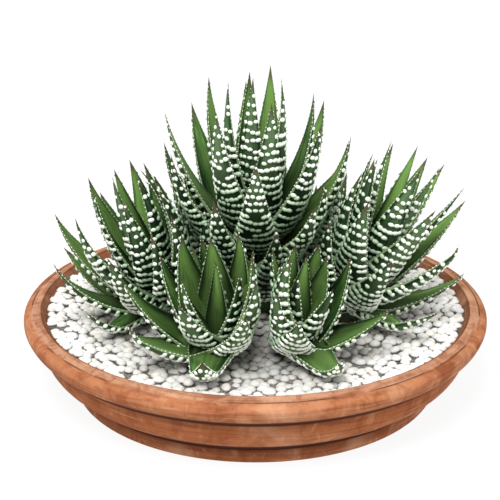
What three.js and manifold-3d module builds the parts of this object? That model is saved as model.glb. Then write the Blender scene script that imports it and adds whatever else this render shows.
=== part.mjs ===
// A clump of zebra haworthia in a shallow terracotta bowl, dressed with white pebbles.
// Millimetres, +Z up, the bowl's foot on z = 0 and centred on the Z axis.

import * as THREE from 'three';
import { mergeVertices } from 'three/addons/utils/BufferGeometryUtils.js';
import Module from 'manifold-3d';

const wasm = await Module();
wasm.setup();

// The bowl: a rolled rim, a bellied band below it and a plain band at the foot.
const BOWL_SIDES = 44;
const RIM_RADIUS = 120;
const RIM_EDGE_RADIUS = 110.6;
const RIM_TOP = 44.5;
const RIM_FACE_LOW = 34.2;
const RIM_ROUNDING = 1.8;
const LIP_STEP = 0.4;
const BELLY_TOP = [111.6, 28.6];
const BELLY_FOOT = [101, 12.4];
const BELLY_BULGE = 1.4;
const BELLY_STEPS = 3;
const FOOT_BAND_RADIUS = 95.6;
const FOOT_BAND_TOP = 9.2;
const FOOT_RADIUS = 92.8;
const FOOT_ROUNDING = 1.4;
const FOOT_RING_INNER_RADIUS = 79;
const FOOT_RECESS = 1.5;
const DRAIN_RADIUS = 7;

// The bowl's inside as [radius, height], from the floor's edge up to the rim's inner edge.
const FLOOR = 7.5;
const INSIDE = [[86.5, FLOOR], [92.5, 10.5], [103.6, 30], [107.2, 40], [RIM_EDGE_RADIUS, RIM_TOP]];

// The fill: soil below, pebbles on top, each a little clear of what it touches.
const GAP = 0.3;
const WALL_SLACK = 1.5;
const SOIL_TOP = 30;
const GRAVEL_TOP = 40.7;
const GRAVEL_MOUND = 1.2;
const PEBBLE_PITCH = 17;
const PEBBLE_CROWN = 1.5;
const PEBBLE_LEAST_CROWN = 0.5;
const PEBBLE_JITTER = 0.35;
const PEBBLE_SEED = 71;
const SLAB_DEPTH = 20;
const SLAB_SPREAD = 2.6;
const COLUMN_STRIDE = 7919;
const ROW_STRIDE = 104729;

// The leaves. Their bands are raised rings on the outer face, a few to each leaf.
const GOLDEN_ANGLE = 137.508;
const LEAF_STEPS = 7;
const SECTION_STEPS = 3;
const THICKNESS_TO_HALF_WIDTH = 0.62;
const BAND_HEIGHT = 0.6;
const BAND_FADE_HALF_WIDTH = 4;
const BASE_NARROWING = 0.6;
const BASE_SHARE = 0.3;
const TAPER_POWER = 1.35;
const TAPER_SHARPNESS = 1.05;
const TURN_SCATTER = 4;
const TILT_SCATTER = 2;
const LENGTH_SCATTER = 0.04;
const CURL_SCATTER = 4;
const ROOT_SINK = 3;

// The room that leaves keep to: over the pebbles, inside the rim, and apart from the neighbours.
// A leaf that would lean past its bounds stands up in steps; what still crosses bends along them.
const LEAF_FLOOR = 44.2;
const LEAF_REACH = 107;
const NEIGHBOUR_GAP = 0.4;
const STAND_STEP = 3;
const STAND_STEPS = 16;
const STEEPEST_TILT = 4;
const TESTED_SHARE = 0.85;
const CROSSING_SHARE = 0.06;

// The stem of a rosette, from the soil to its heart. Its Z is measured from the gravel line.
const GRAVEL_LINE = 42;
const STEM_SIDES = 10;
const STEM_DEPTH = 20;
const STEM_END_SHARE = 0.7;
const STEM_TAPER = 0.5;
const CORE_SPREAD = 1.8;
const CORE_SHOULDER = 5;
const CORE_WAIST_SHARE = 0.7;
const CORE_TOP = 3;

// Each rosette's foot lies on the gravel line, and its axis leans by lean degrees towards leanTo.
// Where three values stand together they are for the lowest leaf, half way in, and the innermost.
// heart is the height, and reach the radius, of the ball of space that the rosette claims.
const ROSETTES = [
  {
    name: 'rosette_centre', foot: [0, 2], lean: 4.5, leanTo: 275,
    leaves: 30, start: 226.5, turn: 1, seed: 13,
    tilt: [60, 41, 2], length: [64, 91, 73], width: [24, 34, 17], curl: [46, 54, 16],
    rise: [7, 56], stem: 11, heart: 62, reach: 62,
  },
  {
    name: 'rosette_left', foot: [-44, -11], lean: 18, leanTo: 202,
    leaves: 23, start: 97, turn: 1, seed: 25,
    tilt: [62, 32, 5], length: [58, 76, 66], width: [21, 32, 15], curl: [64, 78, 29],
    rise: [6.5, 18], stem: 7, heart: 38, reach: 55,
  },
  {
    name: 'rosette_right', foot: [43, -15], lean: 24, leanTo: 358,
    leaves: 25, start: 31, turn: 1, seed: 41,
    tilt: [63, 28, 11], length: [58, 76, 68], width: [21, 32, 15], curl: [48, 30, 7],
    rise: [3, 32], stem: 6.4, heart: 38, reach: 57,
  },
  {
    name: 'rosette_front_left', foot: [-18, -58], lean: 15, leanTo: 246,
    leaves: 17, start: 94.8, turn: -1, seed: 45,
    tilt: [76, 58, 12], length: [61, 64, 42], width: [24, 36, 17], curl: [44, 44, 16],
    rise: [5, 8], stem: 4.2, heart: 24, reach: 51,
  },
  {
    name: 'rosette_front_right', foot: [17, -58], lean: 16, leanTo: 304,
    leaves: 14, start: 242.5, turn: 1, seed: 60,
    tilt: [76, 56, 10], length: [56, 60, 40], width: [23, 35, 16], curl: [44, 44, 10],
    rise: [5, 8], stem: 4, heart: 22, reach: 47,
  },
  {
    name: 'rosette_back_left', foot: [-27, 28], lean: 8, leanTo: 150,
    leaves: 5, start: 40, turn: 1, seed: 81,
    tilt: [36, 24, 8], length: [54, 62, 54], width: [20, 26, 16], curl: [26, 36, 15],
    rise: [4, 9], stem: 4, heart: 26, reach: 36,
  },
  {
    name: 'rosette_back_right', foot: [31, 26], lean: 8, leanTo: 30,
    leaves: 5, start: 100, turn: -1, seed: 84,
    tilt: [36, 24, 8], length: [54, 62, 54], width: [20, 26, 16], curl: [26, 36, 15],
    rise: [4, 9], stem: 4, heart: 26, reach: 36,
  },
];

const TERRACOTTA = new THREE.MeshStandardMaterial({ name: 'terracotta', color: 0xc07a58, roughness: 0.85 });
const SOIL = new THREE.MeshStandardMaterial({ name: 'soil', color: 0x4a3a2c, roughness: 0.95 });
const PEBBLES = new THREE.MeshStandardMaterial({ name: 'pebbles', color: 0xdedbd4, roughness: 0.7 });
const LEAF = new THREE.MeshStandardMaterial({ name: 'leaf', color: 0x4c7038, roughness: 0.5 });

// A steady stream of numbers from -1 to 1.
function draws(seed) {
  let state = seed;
  return () => {
    state = (state * 16807) % 2147483647;
    return (state / 2147483647) * 2 - 1;
  };
}

// A smooth run from the lowest leaf's value, t = 0, to the innermost one's, t = 1.
function between([lowest, middle, innermost], t) {
  return lowest * (1 - t) ** 2 + 2 * middle * t * (1 - t) + innermost * t ** 2;
}

// Any closed three.js geometry as a solid.
function solid(geometry) {
  const bare = geometry.clone();
  bare.deleteAttribute('normal');
  bare.deleteAttribute('uv');
  const merged = mergeVertices(bare, 1e-4);
  return new wasm.Manifold(new wasm.Mesh({
    numProp: 3,
    vertProperties: new Float32Array(merged.attributes.position.array),
    triVerts: new Uint32Array(merged.index.array),
  }));
}

// A solid as a named mesh.
function mesh(name, body, material) {
  const { vertProperties, triVerts } = body.getMesh();
  const geometry = new THREE.BufferGeometry();
  geometry.setAttribute('position', new THREE.BufferAttribute(vertProperties, 3));
  geometry.setIndex(new THREE.BufferAttribute(triVerts, 1));
  geometry.computeVertexNormals();
  const result = new THREE.Mesh(geometry, material);
  result.name = name;
  return result;
}

// A turned body: the outline is [radius, height] pairs, and the lathe's Y axis is laid along Z.
function turned(outline, sides) {
  const points = outline.map(([radius, height]) => new THREE.Vector2(radius, height));
  return new THREE.LatheGeometry(points, sides).rotateX(Math.PI / 2);
}

// The belly's outline, from its top to its foot, bowed outwards by an arc.
function bellyOutline() {
  const [topRadius, topHeight] = BELLY_TOP;
  const [footRadius, footHeight] = BELLY_FOOT;
  const length = Math.hypot(topRadius - footRadius, topHeight - footHeight);
  const outward = [(topHeight - footHeight) / length, (footRadius - topRadius) / length];
  return Array.from({ length: BELLY_STEPS + 1 }, (_, index) => {
    const t = index / BELLY_STEPS;
    const bulge = BELLY_BULGE * Math.sin(Math.PI * t);
    return [
      topRadius + (footRadius - topRadius) * t + outward[0] * bulge,
      topHeight + (footHeight - topHeight) * t + outward[1] * bulge,
    ];
  });
}

function bowl() {
  const outline = [
    [DRAIN_RADIUS, FLOOR],
    [DRAIN_RADIUS, FOOT_RECESS],
    [FOOT_RING_INNER_RADIUS, FOOT_RECESS],
    [FOOT_RING_INNER_RADIUS, 0],
    [FOOT_RADIUS, 0],
    [FOOT_RADIUS + FOOT_ROUNDING, FOOT_ROUNDING],
    [FOOT_BAND_RADIUS, FOOT_BAND_TOP],
    ...bellyOutline().reverse(),
    [BELLY_TOP[0] + LIP_STEP, BELLY_TOP[1] + 2 * LIP_STEP],
    [RIM_RADIUS - RIM_ROUNDING, RIM_FACE_LOW],
    [RIM_RADIUS, RIM_FACE_LOW + 2 * RIM_ROUNDING],
    [RIM_RADIUS, RIM_TOP - 2.2 * RIM_ROUNDING],
    [RIM_RADIUS - 0.7 * RIM_ROUNDING, RIM_TOP - 1.1 * RIM_ROUNDING],
    [RIM_EDGE_RADIUS, RIM_TOP],
    ...INSIDE.slice(0, -1).reverse(),
    [DRAIN_RADIUS, FLOOR],
  ];
  return turned(outline, BOWL_SIDES);
}

// The room inside the bowl between two heights, held clear of its wall.
function room(low, high) {
  const wall = (height) => {
    const upper = INSIDE.findIndex(([, z]) => z > height);
    const [r0, z0] = INSIDE[upper - 1];
    const [r1, z1] = INSIDE[upper];
    return r0 + ((r1 - r0) * (height - z0)) / (z1 - z0) - GAP * WALL_SLACK;
  };
  const corners = INSIDE.map(([, z]) => z).filter((z) => z > low && z < high);
  const sides = [low, ...corners, high].map((z) => [wall(z), z]);
  return turned([[0, low], ...sides, [0, high]], BOWL_SIDES);
}

// Pebbles as relief: a slab on a lattice of equal triangles, whose every third corner is a crown.
function pebbleSlab() {
  const step = PEBBLE_PITCH / Math.sqrt(3);
  const count = Math.ceil((SLAB_SPREAD * RIM_EDGE_RADIUS) / step);
  const slab = new THREE.BoxGeometry(count, count, 2, count, count, 1);
  const position = slab.attributes.position;
  const half = count / 2;
  for (let index = 0; index < position.count; index += 1) {
    const column = Math.round(position.getX(index) + half);
    const row = Math.round(position.getY(index) + half);
    const draw = draws(PEBBLE_SEED + column * COLUMN_STRIDE + row * ROW_STRIDE);
    draw();
    const shift = [draw() * PEBBLE_JITTER * step, draw() * PEBBLE_JITTER * step];
    const crowned = (column + row) % 3 === 0;
    const x = (column - half - (row - half) / 2) * step + (crowned ? 0 : shift[0]);
    const y = (row - half) * step * Math.sqrt(0.75) + (crowned ? 0 : shift[1]);
    const mound = GRAVEL_MOUND * Math.max(0, 1 - (x * x + y * y) / RIM_EDGE_RADIUS ** 2);
    const height = THREE.MathUtils.mapLinear(draw(), -1, 1, PEBBLE_LEAST_CROWN, 1) * PEBBLE_CROWN;
    const top = GRAVEL_TOP + mound + (crowned ? height : 0);
    const z = position.getZ(index) > 0 ? top : GRAVEL_TOP - SLAB_DEPTH;
    position.setXYZ(index, x, y, z);
  }
  return slab;
}

// The rosette's own frame: Z along its leaning axis, the origin at its foot.
function rosetteFrame({ foot, lean, leanTo }) {
  const towards = THREE.MathUtils.degToRad(leanTo);
  const hinge = new THREE.Vector3(-Math.sin(towards), Math.cos(towards), 0);
  const frame = new THREE.Matrix4().makeRotationAxis(hinge, THREE.MathUtils.degToRad(lean));
  return frame.setPosition(foot[0], foot[1], GRAVEL_LINE);
}

function heartOf(rosette) {
  return new THREE.Vector3(0, 0, rosette.heart).applyMatrix4(rosetteFrame(rosette));
}

// The planes that bound a rosette's space: the gravel, and one plane towards each neighbour.
function bounds(rosette) {
  const heart = heartOf(rosette);
  const planes = ROSETTES.filter((other) => other !== rosette).map((other) => {
    const normal = heartOf(other).sub(heart);
    const apart = normal.length();
    normal.normalize();
    const share = (apart ** 2 + rosette.reach ** 2 - other.reach ** 2) / (2 * apart);
    return { normal, limit: normal.dot(heart) + share - NEIGHBOUR_GAP / 2 };
  });
  const gravelPlane = { normal: new THREE.Vector3(0, 0, -1), limit: -LEAF_FLOOR };
  return { neighbours: planes, all: [gravelPlane, ...planes] };
}

// A leaf's half width against its share of the way to the tip, as a part of the widest.
function taper(s) {
  const blade = Math.max(0, 1 - s ** TAPER_POWER) ** TAPER_SHARPNESS;
  const swell = Math.sin((Math.PI / 2) * Math.min(1, s / BASE_SHARE));
  return blade * (BASE_NARROWING + (1 - BASE_NARROWING) * swell);
}

// The spine is an arc: how far out and up it is at s, and the angle that it then has from upright.
function spine(leaf, s) {
  const curl = THREE.MathUtils.degToRad(leaf.curl);
  const first = THREE.MathUtils.degToRad(leaf.tilt) + curl / 2;
  const angle = first - curl * s;
  const scale = leaf.length / curl;
  return {
    out: leaf.stem + scale * (Math.cos(angle) - Math.cos(first)),
    up: leaf.rise + scale * (Math.sin(first) - Math.sin(angle)),
    angle,
  };
}

// One leaf's cross directions and its spine point, kept inside the rosette's space.
function station(leaf, frame, planes, s) {
  const azimuth = THREE.MathUtils.degToRad(leaf.azimuth);
  const outward = new THREE.Vector3(Math.cos(azimuth), Math.sin(azimuth), 0).transformDirection(frame);
  const across = new THREE.Vector3(-Math.sin(azimuth), Math.cos(azimuth), 0).transformDirection(frame);
  const upward = new THREE.Vector3(0, 0, 1).transformDirection(frame);
  const { out, up, angle } = spine(leaf, s);
  const centre = new THREE.Vector3().setFromMatrixPosition(frame)
    .addScaledVector(outward, out)
    .addScaledVector(upward, up);
  const back = outward.clone().multiplyScalar(Math.cos(angle)).addScaledVector(upward, -Math.sin(angle));
  const halfWidth = (leaf.width / 2) * taper(s);
  const thickness = halfWidth * THICKNESS_TO_HALF_WIDTH;
  for (let pass = 0; pass < 3; pass += 1) {
    for (const { normal, limit } of planes) {
      const reach = Math.abs(across.dot(normal)) * halfWidth
        + Math.max(0, back.dot(normal)) * (thickness + BAND_HEIGHT);
      const over = centre.dot(normal) + reach - limit;
      if (over > 0) {
        centre.addScaledVector(normal, -over);
      }
    }
    const overRim = Math.hypot(centre.x, centre.y) + halfWidth - LEAF_REACH;
    if (overRim > 0) {
      const shrink = 1 - overRim / Math.hypot(centre.x, centre.y);
      centre.set(centre.x * shrink, centre.y * shrink, centre.z);
    }
  }
  return { centre, across, back, halfWidth, thickness };
}

// How far a leaf's upper part would pass into a neighbour's space.
function overreach(leaf, frame, neighbours) {
  const { out, up } = spine(leaf, TESTED_SHARE);
  const azimuth = THREE.MathUtils.degToRad(leaf.azimuth);
  const point = new THREE.Vector3(Math.cos(azimuth) * out, Math.sin(azimuth) * out, up).applyMatrix4(frame);
  return Math.max(...neighbours.map(({ normal, limit }) => point.dot(normal) + leaf.width / 4 - limit));
}

// The leaves of a rosette from the lowest to the innermost, each a golden angle on from the last.
// A leaf that would lean into a neighbour stands up until it clears it.
function leavesOf(rosette, frame, neighbours) {
  const draw = draws(rosette.seed);
  return Array.from({ length: rosette.leaves }, (_, index) => {
    const t = index / (rosette.leaves - 1);
    const leaf = {
      azimuth: rosette.start + rosette.turn * GOLDEN_ANGLE * index + TURN_SCATTER * draw(),
      tilt: between(rosette.tilt, t) + TILT_SCATTER * draw(),
      length: between(rosette.length, t) * (1 + LENGTH_SCATTER * draw()),
      curl: between(rosette.curl, t) + CURL_SCATTER * draw(),
      width: between(rosette.width, t),
      rise: rosette.rise[0] + (rosette.rise[1] - rosette.rise[0]) * t,
      stem: rosette.stem * (1 - STEM_TAPER * t),
    };
    for (let step = 0; step < STAND_STEPS && leaf.tilt > STEEPEST_TILT; step += 1) {
      if (overreach(leaf, frame, neighbours) < CROSSING_SHARE * leaf.length) {
        break;
      }
      leaf.tilt -= STAND_STEP;
    }
    return leaf;
  });
}

// A leaf as a closed body: flat inside, round outside, with a raised band on every second ring.
function leafBody(leaf, frame, planes) {
  const geometry = new THREE.CylinderGeometry(1, 1, 1, SECTION_STEPS + 1, LEAF_STEPS - 1);
  const position = geometry.attributes.position;
  const tip = station(leaf, frame, planes, 1).centre;
  const shares = Array.from({ length: LEAF_STEPS }, (_, ring) => ring / LEAF_STEPS);
  const rings = shares.map((share) => station(leaf, frame, planes, share));
  for (let index = 0; index < position.count; index += 1) {
    const x = position.getX(index);
    const z = position.getZ(index);
    const ring = Math.round((position.getY(index) + 0.5) * (LEAF_STEPS - 1));
    const onAxis = Math.hypot(x, z) < 0.5;
    if (onAxis && ring > 0) {
      position.setXYZ(index, tip.x, tip.y, tip.z);
      continue;
    }
    const corner = Math.round((Math.atan2(x, z) / (2 * Math.PI)) * (SECTION_STEPS + 1) + SECTION_STEPS + 1);
    const phi = (Math.PI * (corner % (SECTION_STEPS + 1))) / SECTION_STEPS;
    const { centre, across, back, halfWidth, thickness } = rings[ring];
    const band = ring % 2 === 1 ? BAND_HEIGHT * Math.min(1, halfWidth / BAND_FADE_HALF_WIDTH) : 0;
    const side = onAxis ? 0 : -Math.cos(phi) * halfWidth;
    const depth = onAxis ? thickness / 2 : Math.sin(phi) * (thickness + band);
    const point = centre.clone().addScaledVector(across, side).addScaledVector(back, depth);
    position.setXYZ(index, point.x, point.y, point.z);
  }
  return solid(geometry);
}

// The short stem that the leaves grow from, from its end in the soil to the rosette's heart.
function stemBody(rosette, frame, growth) {
  const { rise, stem } = rosette;
  const shoulder = stem * CORE_SPREAD;
  const outline = [
    [0, -STEM_DEPTH - growth],
    [stem * STEM_END_SHARE + growth, -STEM_DEPTH - growth],
    [stem + growth, 0],
    [shoulder + growth, rise[0] + CORE_SHOULDER],
    [shoulder * CORE_WAIST_SHARE + growth, (rise[0] + rise[1]) / 2],
    [stem * (1 - STEM_TAPER) + growth, rise[1] + CORE_TOP],
    [0, rise[1] + CORE_TOP + growth],
  ];
  return solid(turned(outline, STEM_SIDES).applyMatrix4(frame));
}

// The body alone: the hollows that its leaves close off are filled, and loose scraps are dropped.
function filled(body) {
  return body.decompose().reduce((best, piece) => (piece.volume() > best.volume() ? piece : best));
}

function rosetteBody(rosette) {
  const frame = rosetteFrame(rosette);
  const { neighbours, all } = bounds(rosette);
  const leaves = leavesOf(rosette, frame, neighbours);
  const bodies = leaves.map((leaf) => leafBody({ ...leaf, stem: leaf.stem - ROOT_SINK }, frame, all));
  return filled(wasm.Manifold.union([stemBody(rosette, frame, 0), ...bodies]));
}

const potted = new THREE.Group();
potted.add(mesh('bowl', solid(bowl()), TERRACOTTA));

const socketBodies = ROSETTES.map((rosette) => stemBody(rosette, rosetteFrame(rosette), GAP));
const sockets = wasm.Manifold.union(socketBodies);
const soil = solid(room(FLOOR + GAP, SOIL_TOP - GAP / 2)).subtract(sockets);
potted.add(mesh('soil', soil, SOIL));

const gravelRoom = solid(room(SOIL_TOP + GAP / 2, RIM_TOP - GAP));
const gravel = gravelRoom.intersect(solid(pebbleSlab())).subtract(sockets);
potted.add(mesh('gravel', gravel, PEBBLES));

for (const rosette of ROSETTES) {
  potted.add(mesh(rosette.name, rosetteBody(rosette), LEAF));
}

export default potted;
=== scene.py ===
"""A clump of zebra haworthia in a shallow terracotta bowl, dressed with white pebbles.

The bowl, the fill and the rosettes are classes of their own. Their sizes are in
millimetres, +Z up, with the bowl's foot on the floor and centred on the Z axis, and they
become metres where a mesh is written.
"""

import logging
import math
from dataclasses import dataclass, replace
from enum import Enum
from typing import Callable, Iterator, Sequence

import bmesh
import bpy
import numpy as np
from mathutils import Matrix, Vector


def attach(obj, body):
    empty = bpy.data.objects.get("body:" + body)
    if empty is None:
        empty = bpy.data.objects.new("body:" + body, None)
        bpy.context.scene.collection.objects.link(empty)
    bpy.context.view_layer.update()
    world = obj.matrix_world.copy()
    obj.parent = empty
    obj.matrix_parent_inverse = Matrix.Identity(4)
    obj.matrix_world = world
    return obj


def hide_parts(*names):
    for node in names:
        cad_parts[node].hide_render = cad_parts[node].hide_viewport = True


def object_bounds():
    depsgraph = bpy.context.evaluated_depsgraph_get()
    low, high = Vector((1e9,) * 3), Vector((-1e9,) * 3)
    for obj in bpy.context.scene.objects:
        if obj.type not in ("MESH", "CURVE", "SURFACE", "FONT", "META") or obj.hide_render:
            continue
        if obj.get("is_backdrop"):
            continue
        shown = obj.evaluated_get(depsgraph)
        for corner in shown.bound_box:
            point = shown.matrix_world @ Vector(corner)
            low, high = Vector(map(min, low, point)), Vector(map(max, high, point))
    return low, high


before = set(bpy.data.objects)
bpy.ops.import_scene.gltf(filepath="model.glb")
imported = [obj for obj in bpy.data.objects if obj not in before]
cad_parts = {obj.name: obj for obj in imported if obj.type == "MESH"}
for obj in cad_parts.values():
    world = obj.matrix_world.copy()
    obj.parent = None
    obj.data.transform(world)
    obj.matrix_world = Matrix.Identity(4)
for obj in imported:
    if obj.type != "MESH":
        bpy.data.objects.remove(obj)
CAD_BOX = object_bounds()

LOG = logging.getLogger("haworthia")
BODY = "root"
MM = 0.001
GOLDEN_ANGLE = 137.508
DRAW_FACTOR = 16807
DRAW_PRIME = 2147483647

Colour = tuple[float, float, float, float]
Triple = tuple[float, float, float]
Pair = tuple[float, float]
Mesh = bmesh.types.BMesh
Piece = bpy.types.Object
Material = bpy.types.Material

WHITE: Colour = (1.0, 1.0, 1.0, 1.0)


class Slot(Enum):
    """Names of the material slots, which are passed along with the pieces but not used."""

    TERRACOTTA = "terracotta"
    PEBBLES = "pebbles"
    LEAF = "leaf"


def paint(red: int, green: int, blue: int) -> Colour:
    """A colour as a shader takes it.

    Args:
        red: Red as on a screen, 0 to 255.
        green: Green as on a screen, 0 to 255.
        blue: Blue as on a screen, 0 to 255.

    Returns:
        The linear colour, with full alpha.
    """
    shares = [channel / 255 for channel in (red, green, blue)]
    linear = [s / 12.92 if s <= 0.04045 else ((s + 0.055) / 1.055) ** 2.4 for s in shares]
    return (linear[0], linear[1], linear[2], 1.0)


class Value:
    """A shader socket whose arithmetic adds Math nodes."""

    def __init__(self, shader: "Shader", socket: bpy.types.NodeSocket) -> None:
        """Keeps the socket and the shader that it belongs to."""
        self.shader = shader
        self.socket = socket

    def part(self, name: str) -> "Value":
        """Another output of the same node."""
        return Value(self.shader, Shader.find(self.socket.node.outputs, name))

    def math(self, operation: str, first: "Value | float", second: "Value | float" = 0.0) -> "Value":
        """One Math node.

        Args:
            operation: The node's operation.
            first: Its first operand.
            second: Its second operand, where it has one.

        Returns:
            The result.
        """
        return self.shader.add("ShaderNodeMath", {"operation": operation}, {0: first, 1: second})

    def __add__(self, other: "Value | float") -> "Value":
        """Self plus other."""
        return self.math("ADD", self, other)

    def __radd__(self, other: float) -> "Value":
        """Other plus self."""
        return self.math("ADD", other, self)

    def __sub__(self, other: "Value | float") -> "Value":
        """Self less other."""
        return self.math("SUBTRACT", self, other)

    def __rsub__(self, other: float) -> "Value":
        """Other less self."""
        return self.math("SUBTRACT", other, self)

    def __mul__(self, other: "Value | float") -> "Value":
        """Self times other."""
        return self.math("MULTIPLY", self, other)

    def __rmul__(self, other: float) -> "Value":
        """Other times self."""
        return self.math("MULTIPLY", other, self)

    def __pow__(self, other: "Value | float") -> "Value":
        """Self to the power of other."""
        return self.math("POWER", self, other)

    def __abs__(self) -> "Value":
        """Self without its sign."""
        return self.math("ABSOLUTE", self)


class Shader:
    """A material's node tree, with one method that adds any node."""

    def __init__(self, name: str) -> None:
        """Makes an empty material.

        Args:
            name: The material's name.
        """
        self.material = bpy.data.materials.new(name)
        self.material.use_nodes = True
        self.tree = self.material.node_tree
        self.tree.nodes.clear()

    @staticmethod
    def find(sockets: Sequence[bpy.types.NodeSocket], key: int | str) -> bpy.types.NodeSocket:
        """A socket by its place, its identifier or its name."""
        if isinstance(key, int):
            return sockets[key]
        return next(s for s in sockets if key == s.identifier or (key == s.name and s.enabled))

    def add(
        self,
        kind: str,
        settings: dict[str, object] | None = None,
        inputs: dict[int | str, object] | None = None,
        output: int | str = 0,
    ) -> Value:
        """Adds a node.

        Args:
            kind: The node's type.
            settings: Its settings, which are set first.
            inputs: What its sockets hold: plain values, or values to link.
            output: The output that the result reads.

        Returns:
            That output.
        """
        node = self.tree.nodes.new(kind)
        for key, value in (settings or {}).items():
            setattr(node, key, value)
        for key, value in (inputs or {}).items():
            socket = self.find(node.inputs, key)
            if isinstance(value, Value):
                self.tree.links.new(value.socket, socket)
            else:
                socket.default_value = value
        return Value(self, self.find(node.outputs, output))

    def place(self) -> Value:
        """The object coordinates."""
        return self.add("ShaderNodeTexCoord", output="Object")

    def millimetres(self) -> tuple[Value, Value, Value]:
        """The object coordinates in millimetres, one by one."""
        return self.split(self.stretched(self.place(), (1 / MM, 1 / MM, 1 / MM)))

    def attribute(self, name: str) -> Value:
        """A point attribute of the mesh, as a vector."""
        return self.add("ShaderNodeAttribute", {"attribute_name": name}, output="Vector")

    def split(self, vector: Value) -> tuple[Value, Value, Value]:
        """The three numbers of a vector."""
        x = self.add("ShaderNodeSeparateXYZ", inputs={0: vector})
        return x, x.part("Y"), x.part("Z")

    def join(self, x: Value | float, y: Value | float, z: Value | float) -> Value:
        """A vector of three numbers."""
        return self.add("ShaderNodeCombineXYZ", inputs={0: x, 1: y, 2: z})

    def stretched(self, vector: Value, scale: Triple) -> Value:
        """A vector, scaled along its three axes."""
        return self.add("ShaderNodeVectorMath", {"operation": "MULTIPLY"}, {0: vector, 1: scale})

    def noise(self, vector: Value, scale: float, detail: float, distortion: float = 0.0) -> Value:
        """Cloudy noise.

        Args:
            vector: Where it is read.
            scale: Its scale.
            detail: How many octaves it has.
            distortion: How far it is stirred.

        Returns:
            A number from 0 to 1.
        """
        inputs = {"Vector": vector, "Scale": scale, "Detail": detail, "Distortion": distortion}
        return self.add("ShaderNodeTexNoise", inputs=inputs)

    def cells(self, vector: Value, scale: float) -> Value:
        """The distance to the nearest point of a random scatter."""
        return self.add("ShaderNodeTexVoronoi", inputs={"Vector": vector, "Scale": scale})

    def step(self, value: Value, low: float, high: float) -> Value:
        """A smooth step.

        Args:
            value: The number that is read.
            low: Where the step is 0.
            high: Where the step is 1, above low or below it.

        Returns:
            A number from 0 to 1.
        """
        inputs = {"Value": value, "From Min": low, "From Max": high, "To Min": 0.0, "To Max": 1.0}
        if low > high:
            inputs.update({"From Min": high, "From Max": low, "To Min": 1.0, "To Max": 0.0})
        return self.add("ShaderNodeMapRange", {"interpolation_type": "SMOOTHSTEP"}, inputs)

    def layers(self, colour: Value | Colour, *coats: tuple[Value | float, Value | Colour]) -> Value:
        """Colours laid one over another.

        Args:
            colour: The lowest colour.
            coats: How much of each further coat shows, and its colour.

        Returns:
            The colour that is seen.
        """
        for share, coat in coats:
            inputs = {"Factor_Float": share, "A_Color": colour, "B_Color": coat}
            colour = self.add("ShaderNodeMix", {"data_type": "RGBA"}, inputs, "Result_Color")
        return colour

    def bump(self, height: Value, strength: float, depth: float) -> Value:
        """A normal that is bent by a height.

        Args:
            height: The height, about 0 to 1.
            strength: The share of the bump that shows.
            depth: The height's size in millimetres.

        Returns:
            The normal.
        """
        inputs = {"Strength": strength, "Distance": depth * MM, "Height": height}
        return self.add("ShaderNodeBump", inputs=inputs)

    def finish(self, colour: Value, roughness: Value | float, **rest: Value | float | Colour) -> Material:
        """Ends the tree in a principled surface.

        Args:
            colour: Its base colour.
            roughness: Its roughness.
            rest: What its other sockets hold, their names with _ for spaces.

        Returns:
            The material.
        """
        inputs = {"Base Color": colour, "Roughness": roughness}
        inputs.update({key.replace("_", " "): value for key, value in rest.items()})
        surface = self.add("ShaderNodeBsdfPrincipled", inputs=inputs)
        output = self.tree.nodes.new("ShaderNodeOutputMaterial")
        self.tree.links.new(surface.socket, output.inputs["Surface"])
        return self.material


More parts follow.
